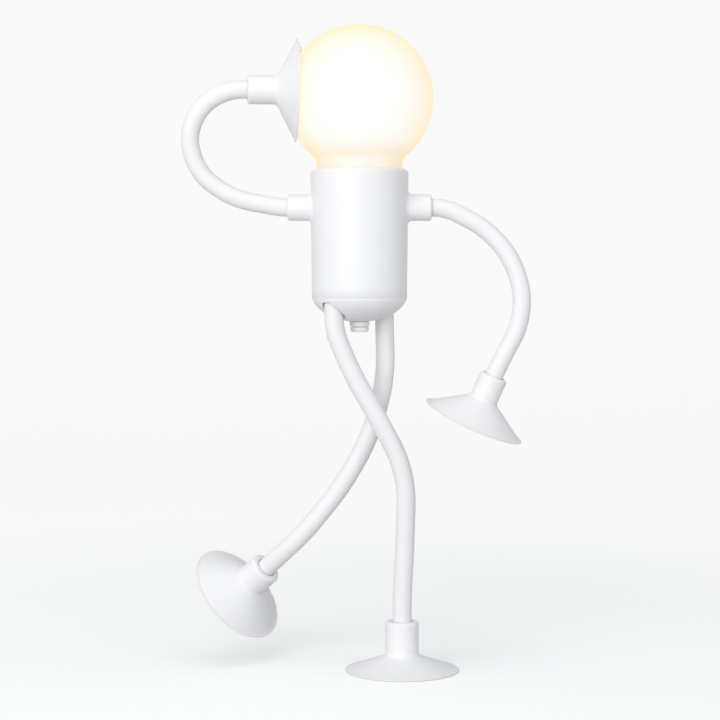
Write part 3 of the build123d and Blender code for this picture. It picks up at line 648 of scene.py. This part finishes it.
def flex_rim(bm, centre, axis, rim):
    """The far upper edge of the pressed hand stands off the globe, as soft silicone does."""
    reach, middle, spread = 7.0, math.radians(50), math.radians(30)
    far = UP.cross(axis).normalized()
    if far.y < 0:
        far = -far
    for v in bm.verts:
        out = v.co / MM - centre
        out -= axis * out.dot(axis)
        angle = math.atan2(out.dot(far), out.dot(UP))
        lobe = math.exp(-((angle - middle) / spread) ** 2)
        v.co += axis * reach * lobe * (out.length / rim) ** 3 * MM


# Operators, one for each piece or group

class LAMP_OT_casing(Operator):
    """Casing with its shoulder stubs, and the domed base cap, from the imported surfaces"""
    bl_idname = "lamp.casing"
    bl_label = "Casing and cap"

    def execute(self, context):
        for name, node in (("casing", "body_shell"), ("cap", "base_cap")):
            piece = mesh_piece(name, merged_copy(node), "shell", smooth_below=30.0)
            fit(piece, "torso", "shell_plastic", node)
        return {"FINISHED"}


class LAMP_OT_globe(Operator):
    """Opal globe with its neck, one hollow moulding"""
    bl_idname = "lamp.globe"
    bl_label = "Globe"

    def execute(self, context):
        s = sizes()
        outer, neck = s.globe_r / MM, s.neck_r / MM
        inner, neck_inner = outer - GLOBE_WALL, neck - GLOBE_WALL
        foot, middle = -GLOBE_RISE - NECK_DEPTH, Vector((0, 0))
        # The fillet's centre is as far from the globe's middle as touching circles are
        across = neck + NECK_FILLET
        level = -math.sqrt((outer + NECK_FILLET) ** 2 - across ** 2)
        touch = math.atan2(-level, across)
        top, low = math.pi / 2, -math.acos(neck_inner / inner)
        points = [Vector((neck_inner, foot)), Vector((neck, foot)),
                  *arc(Vector((across, level)), NECK_FILLET, math.pi, math.pi - touch, 12),
                  *arc(middle, outer, -touch, top, 96)[1:],
                  *arc(middle, inner, top, low, 64)]
        globe = turned(points, at((STANCE.x, STANCE.y, GLOBE_LEVEL)), s.around)
        fit(mesh_piece("globe", globe, "opal"), "torso", "opal_plastic", "opal_globe")
        return {"FINISHED"}


class LAMP_OT_button(Operator):
    """Bezel and push button under the dome"""
    bl_idname = "lamp.button"
    bl_label = "Button and bezel"

    def execute(self, context):
        around = sizes().around
        dome_foot = at((STANCE.x, STANCE.y, SEAM - DOME_DEPTH))
        bore, collar, bezel_r, root_r = 4.6, 5.4, 6.15, 6.5
        bezel_foot, root, collar_top = -3.0, 0.05, 3.4
        bezel = rounded([
            (bore, bezel_foot, 0.2), (bezel_r, bezel_foot, 0.3), (root_r, root, 0),
            (collar, root, 0), (collar, collar_top, 0), (bore, collar_top, 0)], steps=5)
        fit(mesh_piece("bezel", turned(bezel, dome_foot, around), "shell"),
            "torso", "shell_plastic", "switch_bezel")
        tip_r, head_r, stem_r, pin_r = 5.75, 6.0, 4.3, 1.5
        tip, head_top, stem_top, pin_top = -6.4, -3.4, 5.5, 7.1
        button = rounded([
            (0, tip, 0), (tip_r, tip, 1.0), (head_r, head_top, 0.25), (stem_r, head_top, 0),
            (stem_r, stem_top, 0), (pin_r, stem_top, 0), (pin_r, pin_top, 0.2),
            (0, pin_top, 0)], steps=6)
        fit(mesh_piece("button", turned(button, dome_foot, around), "shell"),
            "button", "button_plastic", "power_button")
        return {"FINISHED"}


class LAMP_OT_cups(Operator):
    """Four suction cups that end the arms and legs"""
    bl_idname = "lamp.cups"
    bl_label = "Suction cups"

    def execute(self, context):
        for name, (limb, size, mouth, axis) in CUPS.items():
            section = cup_section(size, is_foot="foot" in name)
            centre = mouth + axis * size.height
            cup = turned(section, at(centre, -axis), sizes().around)
            if name == "raised_hand_cup":
                flex_rim(cup, centre, axis, size.rim)
            piece = mesh_piece(name.replace("_cup", ""), cup, "silicone", smooth_below=60.0)
            fit(piece, f"{limb}_{len(JOINTS[limb])}", "silicone", name)
        return {"FINISHED"}


class LAMP_OT_limbs(Operator):
    """Silicone sleeves of the arms and legs, one piece round each joint"""
    bl_idname = "lamp.limbs"
    bl_label = "Limb sleeves"

    def execute(self, context):
        s = sizes()
        tree = sleeve_tree()
        longest_bend, margin = 20, 0.5
        for limb, (start, corners) in LIMBS.items():
            route = Route(reach_out(start, corners))
            joints = JOINTS[limb]
            cuts = [0] + [(a + b) / 2 for a, b in zip(joints, joints[1:])] + [route.length]
            inputs = {"Radius": s.arm_r if "arm" in limb else s.leg_r, "Wall": s.sleeve_wall,
                      "Sides": s.tube_sides, "Material": MATERIALS["silicone"]}
            for i, joint in enumerate(joints):
                first, last = cuts[i], cuts[i + 1]
                mesh = grown(route.between(first, last), tree, inputs)
                piece = finished_piece(f"{limb}_skin_{i + 1}", mesh, "silicone")
                reach = min(joint - first, last - joint, longest_bend) - margin
                tuple(route.at(joint - reach) * MM)
                tuple(route.at(joint + reach) * MM)
                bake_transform(piece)
                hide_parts(f"{limb}_sleeve_{i + 1}")
        return {"FINISHED"}


class LAMP_OT_insides(Operator):
    """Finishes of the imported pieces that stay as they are, inside and at the back"""
    bl_idname = "lamp.insides"
    bl_label = "Inner pieces"

    def execute(self, context):
        for finish, nodes in CAD_FINISHES.items():
            for node in nodes:
                self.paint(node, finish)
        for limb, joints in JOINTS.items():
            for i in range(len(joints)):
                self.paint(f"{limb}_core_{i + 1}", "steel")
        return {"FINISHED"}

    def paint(self, node, finish):
        """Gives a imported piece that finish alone."""
        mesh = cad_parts[node].data
        mesh.materials.clear()
        mesh.materials.append(MATERIALS[finish])


# The stage, in metres. Round the lamp the backdrop takes shadow like paper, and further off it
# is as even and pale as a lit studio wall.
NEAR, FAR = 0.12, 0.8                  # distances between which the one turns into the other
PAPER_NEAR, PAPER_FAR = 0.9, 0.16      # share of the light on it that the eye gets back
LIFT_NEAR, LIFT_FAR = 0.245, 0.885     # glow that is added to it for the eye
PAPER_BOUNCE = 0.55                    # share of the light on it that reaches the lamp
SWEEP_WIDTH = 3.0                      # to each side
SWEEP_FRONT = -2.5
SWEEP_BEND = 1.2                       # where the floor starts to curve up
SWEEP_RADIUS = 0.8
SWEEP_HEIGHT = 3.0
SWEEP_STEPS = 16

# Disc lamps: name, place, diameter, watts and colour
LAMPS = (
    ("key", (-0.8, -1.7, 0.62), 2.0, 27.5, "#FFFFFF"),
    ("top", (-0.2, -0.3, 1.9), 1.0, 2.5, "#FFFFFF"),
    ("fill", (1.3, -0.9, 0.5), 1.4, 2.8, "#F8F9FF"),
)
LAMPS_AIM = Vector((-0.03, 0.0, 0.22))
WORLD_SEEN, WORLD_LIGHT = 1.0, 0.65    # strength of the world to the camera, and as light

# Small lamp between the globe and the raised hand
HAND_GLOW_PLACE = Vector((-65.0, 11.0, 396.5)) * MM
HAND_GLOW_SIZE = 1.5 * MM
HAND_GLOW_WATTS = 0.0008

# The photograph's camera: in front of the lamp, dipped by that many degrees
CAMERA_PLACE = (-0.0269, -1.221, 0.2586)
CAMERA_DIP = 2.80
FOCAL_PX, PICTURE_PX = 1923.0, 720.0
SENSOR_MM = 36.0


class LAMP_OT_stage(Operator):
    """Pale floor and wall, soft studio light and the camera"""
    bl_idname = "lamp.stage"
    bl_label = "Stage"

    def execute(self, context):
        self.sweep()
        self.world()
        self.lamps()
        self.camera(context)
        return {"FINISHED"}

    def paper(self):
        """Matte paper as the camera, gloss and glass see it, and plain grey to other rays."""
        material, tree, place = new_material("paper_backdrop_matte")
        c = tuple(colours().backdrop)
        away = add(tree, "ShaderNodeVectorMath", {0: place}, operation="LENGTH")
        far = add(tree, "ShaderNodeMapRange", {
            "Value": away.outputs["Value"], "From Min": NEAR, "From Max": FAR},
            interpolation_type="SMOOTHSTEP").outputs["Result"]
        tone = add(tree, "ShaderNodeMix", {
            "Factor": far, MIX_A: dimmed(c, PAPER_NEAR), MIX_B: dimmed(c, PAPER_FAR)},
            data_type="RGBA")
        level = add(tree, "ShaderNodeMapRange", {
            "Value": far, "To Min": LIFT_NEAR, "To Max": LIFT_FAR})
        shade = add(tree, "ShaderNodeBsdfDiffuse", {"Color": tone.outputs[MIX_RESULT]})
        lift = add(tree, "ShaderNodeEmission", {
            "Color": c, "Strength": level.outputs["Result"]})
        both = add(tree, "ShaderNodeAddShader", {0: shade.outputs[0], 1: lift.outputs[0]})
        plain = add(tree, "ShaderNodeBsdfDiffuse", {"Color": dimmed((1, 1, 1), PAPER_BOUNCE)})
        rays = add(tree, "ShaderNodeLightPath").outputs
        seen = rays["Is Camera Ray"]
        for ray in ("Is Glossy Ray", "Is Transmission Ray"):
            seen = add(tree, "ShaderNodeMath", {0: seen, 1: rays[ray]},
                       operation="MAXIMUM").outputs[0]
        mixed = add(tree, "ShaderNodeMixShader", {
            0: seen, 1: plain.outputs[0], 2: both.outputs[0]})
        add(tree, "ShaderNodeOutputMaterial", {"Surface": mixed.outputs[0]})
        return material

    def sweep(self):
        """Floor that curves up into the wall behind."""
        turns = (math.pi / 2 * k / SWEEP_STEPS for k in range(1, SWEEP_STEPS + 1))
        row = [(SWEEP_FRONT, 0.0), (SWEEP_BEND, 0.0)]
        row += [(SWEEP_BEND + SWEEP_RADIUS * math.sin(a),
                 SWEEP_RADIUS - SWEEP_RADIUS * math.cos(a)) for a in turns]
        row.append((SWEEP_BEND + SWEEP_RADIUS, SWEEP_HEIGHT))
        points = [(x, y, z) for y, z in row for x in (-SWEEP_WIDTH, SWEEP_WIDTH)]
        faces = [(2 * i, 2 * i + 1, 2 * i + 3, 2 * i + 2) for i in range(len(row) - 1)]
        mesh = bpy.data.meshes.new("backdrop")
        mesh.from_pydata(points, [], faces)
        mesh.polygons.foreach_set("use_smooth", [True] * len(faces))
        mesh.materials.append(self.paper())
        new_object("backdrop", mesh)

    def world(self):
        """Even light from all round, and the backdrop's own colour where the camera sees it."""
        world = bpy.data.worlds.new("studio")
        world.use_nodes = True
        tree = world.node_tree
        tree.nodes.clear()
        pale = add(tree, "ShaderNodeBackground", {
            "Color": tuple(colours().backdrop), "Strength": WORLD_SEEN})
        soft = add(tree, "ShaderNodeBackground", {
            "Color": srgb("#F4F6FA"), "Strength": WORLD_LIGHT})
        seen = add(tree, "ShaderNodeLightPath").outputs["Is Camera Ray"]
        mixed = add(tree, "ShaderNodeMixShader", {
            0: seen, 1: soft.outputs[0], 2: pale.outputs[0]})
        add(tree, "ShaderNodeOutputWorld", {"Surface": mixed.outputs[0]})
        bpy.context.scene.world = world

    def lamps(self):
        """The disc lamps, and the warm light that the globe throws into the hand on it."""
        for name, place, size, watts, tint in LAMPS:
            lamp = self.lamp(name, "AREA", place, watts, tint)
            lamp.data.shape = "DISK"
            lamp.data.size = size
            aim = LAMPS_AIM - Vector(place)
            lamp.rotation_euler = aim.to_track_quat("-Z", "Y").to_euler()
        glow = self.lamp("hand_glow", "POINT", HAND_GLOW_PLACE, HAND_GLOW_WATTS, "#FFA04A")
        glow.data.shadow_soft_size = HAND_GLOW_SIZE
        glow.visible_camera = False

    def lamp(self, name, kind, place, watts, tint):
        """A lamp of that kind, power and colour in its place."""
        data = bpy.data.lights.new(name, kind)
        data.energy = watts
        data.color = srgb(tint)[:3]
        made = new_object(name, data)
        made.location = place
        return made

    def camera(self, context):
        """The photograph's view."""
        data = bpy.data.cameras.new("camera")
        data.sensor_width = SENSOR_MM
        data.lens = FOCAL_PX / PICTURE_PX * SENSOR_MM
        camera = new_object("camera", data)
        camera.location = CAMERA_PLACE
        camera.rotation_euler = (math.radians(90 - CAMERA_DIP), 0, 0)
        context.scene.camera = camera
        context.scene.view_settings.view_transform = "Standard"


# The operators in the order in which they run
STEPS = (LAMP_OT_stage, LAMP_OT_casing, LAMP_OT_globe, LAMP_OT_button, LAMP_OT_cups,
         LAMP_OT_limbs, LAMP_OT_insides)


class LAMP_PT_panel(Panel):
    """Lists the lamp's sizes, colours and building steps"""
    bl_idname = "LAMP_PT_panel"
    bl_label = "Posable figure lamp"
    bl_space_type = "VIEW_3D"
    bl_region_type = "UI"
    bl_category = "Figure lamp"

    def draw(self, context):
        for group in (context.scene.lamp_sizes, context.scene.lamp_colours):
            box = self.layout.box()
            for field in group.__annotations__:
                box.prop(group, field)
        for step in STEPS:
            self.layout.operator(step.bl_idname)


CLASSES = (LampSizes, LampColours, *STEPS, LAMP_PT_panel)


def register():
    for cls in CLASSES:
        bpy.utils.register_class(cls)
    bpy.types.Scene.lamp_sizes = PointerProperty(type=LampSizes)
    bpy.types.Scene.lamp_colours = PointerProperty(type=LampColours)


def unregister():
    del bpy.types.Scene.lamp_colours
    del bpy.types.Scene.lamp_sizes
    for cls in reversed(CLASSES):
        bpy.utils.unregister_class(cls)


def main():
    """Registers the classes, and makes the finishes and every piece."""
    register()
    MATERIALS.update(make_materials())
    for step in STEPS:
        group, name = step.bl_idname.split(".")
        getattr(getattr(bpy.ops, group), name)()


if __name__ == "__main__":
    main()
